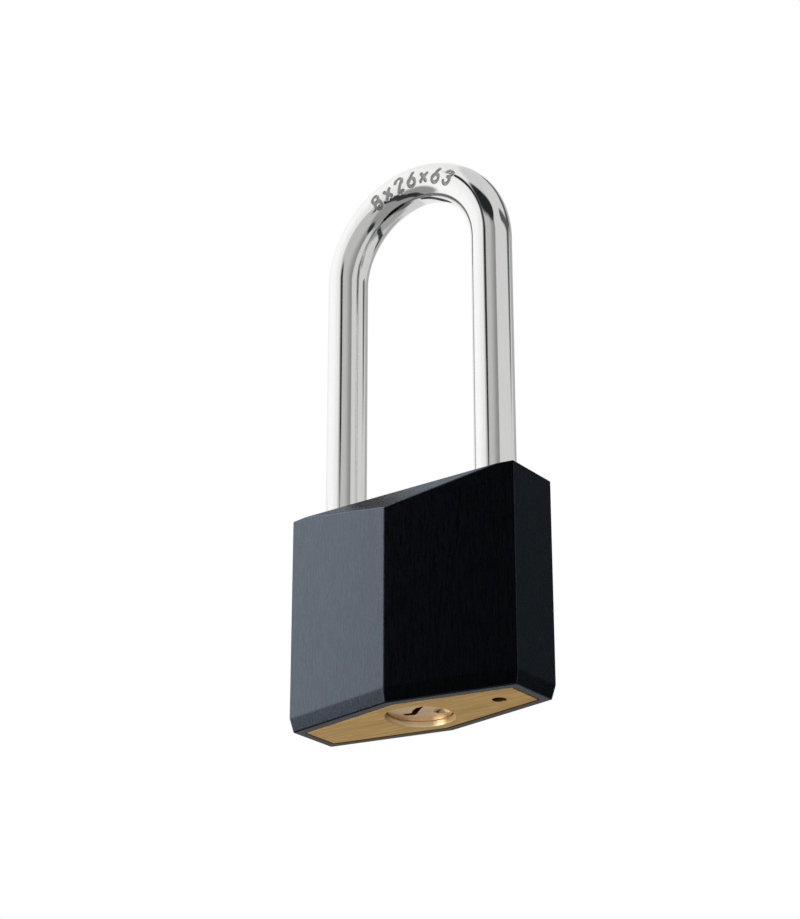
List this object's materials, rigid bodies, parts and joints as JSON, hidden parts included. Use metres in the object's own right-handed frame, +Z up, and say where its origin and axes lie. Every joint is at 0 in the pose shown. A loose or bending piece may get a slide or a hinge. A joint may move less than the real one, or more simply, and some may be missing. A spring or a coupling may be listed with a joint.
{
  "type": "padlock",
  "caption": "Closed pin-tumbler padlock with a long round steel shackle and a six-sided black moulded cover over a brass body.",
  "frame": {"origin": "centre of the flat bottom face, where the key goes in", "axes": "+Z up along the shackle's legs, +X towards the captive heel leg, -Y the front face"},
  "size_m": [0.05, 0.0218, 0.1122],
  "materials": {
    "cover": "black thermoplastic, fine moulded grain",
    "body_brass": "brushed across the width",
    "plug_brass": "turned, slightly redder than the body",
    "shackle_steel": "polished stainless steel",
    "pin_brass": "nickel-plated brass",
    "spring_steel": "drawn spring wire",
    "ball_steel": "hardened and polished",
    "cam_steel": "sintered steel"
  },
  "bodies": {
    "body": {"body_cover": "cover", "lock_body": "body_brass", "plug_retaining_pin": "spring_steel", "chamber_plug_1": "body_brass", "chamber_plug_2": "body_brass", "chamber_plug_3": "body_brass", "chamber_plug_4": "body_brass", "chamber_plug_5": "body_brass", "pin_spring_1": "spring_steel", "pin_spring_2": "spring_steel", "pin_spring_3": "spring_steel", "pin_spring_4": "spring_steel", "pin_spring_5": "spring_steel", "shackle_spring": "spring_steel"},
    "plug": {"plug": "plug_brass", "ball_cam": "cam_steel"},
    "key_pin_1": {"key_pin_1": "pin_brass"},
    "key_pin_2": {"key_pin_2": "pin_brass"},
    "key_pin_3": {"key_pin_3": "pin_brass"},
    "key_pin_4": {"key_pin_4": "pin_brass"},
    "key_pin_5": {"key_pin_5": "pin_brass"},
    "driver_pin_1": {"driver_pin_1": "pin_brass"},
    "driver_pin_2": {"driver_pin_2": "pin_brass"},
    "driver_pin_3": {"driver_pin_3": "pin_brass"},
    "driver_pin_4": {"driver_pin_4": "pin_brass"},
    "driver_pin_5": {"driver_pin_5": "pin_brass"},
    "toe_ball": {"toe_ball": "ball_steel"},
    "heel_ball": {"heel_ball": "ball_steel"},
    "spring_cap": {"shackle_spring_cap": "pin_brass"},
    "shackle": {"shackle": "shackle_steel"}
  },
  "joints": [
    {"name": "plug_turn", "type": "hinge", "parent": "body", "child": "plug", "pos_m": [0, 0, 0.013], "axis": [0, 0, 1], "range_deg": [-90, 0]},
    {"name": "toe_ball_slide", "type": "slide", "parent": "body", "child": "toe_ball", "axis": [-1, 0, 0], "range_m": [0, 0.002]},
    {"name": "heel_ball_slide", "type": "slide", "parent": "body", "child": "heel_ball", "axis": [1, 0, 0], "range_m": [0, 0.001]},
    {"name": "key_pin_1_slide", "type": "slide", "parent": "plug", "child": "key_pin_1", "axis": [1, 0, 0], "range_m": [0, 0.0022]},
    {"name": "driver_pin_1_slide", "type": "slide", "parent": "body", "child": "driver_pin_1", "axis": [1, 0, 0], "range_m": [0, 0.0022]},
    {"name": "key_pin_2_slide", "type": "slide", "parent": "plug", "child": "key_pin_2", "axis": [1, 0, 0], "range_m": [0, 0.0014]},
    {"name": "driver_pin_2_slide", "type": "slide", "parent": "body", "child": "driver_pin_2", "axis": [1, 0, 0], "range_m": [0, 0.0014]},
    {"name": "key_pin_3_slide", "type": "slide", "parent": "plug", "child": "key_pin_3", "axis": [1, 0, 0], "range_m": [0, 0.0026]},
    {"name": "driver_pin_3_slide", "type": "slide", "parent": "body", "child": "driver_pin_3", "axis": [1, 0, 0], "range_m": [0, 0.0026]},
    {"name": "key_pin_4_slide", "type": "slide", "parent": "plug", "child": "key_pin_4", "axis": [1, 0, 0], "range_m": [0, 0.001]},
    {"name": "driver_pin_4_slide", "type": "slide", "parent": "body", "child": "driver_pin_4", "axis": [1, 0, 0], "range_m": [0, 0.001]},
    {"name": "key_pin_5_slide", "type": "slide", "parent": "plug", "child": "key_pin_5", "axis": [1, 0, 0], "range_m": [0, 0.0018]},
    {"name": "driver_pin_5_slide", "type": "slide", "parent": "body", "child": "driver_pin_5", "axis": [1, 0, 0], "range_m": [0, 0.0018]},
    {"name": "shackle_lift", "type": "slide", "parent": "body", "child": "spring_cap", "axis": [0, 0, 1], "range_m": [0, 0.0145]},
    {"name": "shackle_swing", "type": "hinge", "parent": "spring_cap", "child": "shackle", "pos_m": [0.017, 0, 0.0137], "axis": [0, 0, 1], "continuous": true}
  ],
  "couplings": [
    {"joint": "toe_ball_slide", "follows": "plug_turn", "m_per_rad": -0.001273},
    {"joint": "heel_ball_slide", "follows": "plug_turn", "m_per_rad": -0.0006366},
    {"joint": "driver_pin_1_slide", "follows": "key_pin_1_slide", "ratio": 1},
    {"joint": "driver_pin_2_slide", "follows": "key_pin_2_slide", "ratio": 1},
    {"joint": "driver_pin_3_slide", "follows": "key_pin_3_slide", "ratio": 1},
    {"joint": "driver_pin_4_slide", "follows": "key_pin_4_slide", "ratio": 1},
    {"joint": "driver_pin_5_slide", "follows": "key_pin_5_slide", "ratio": 1}
  ]
}
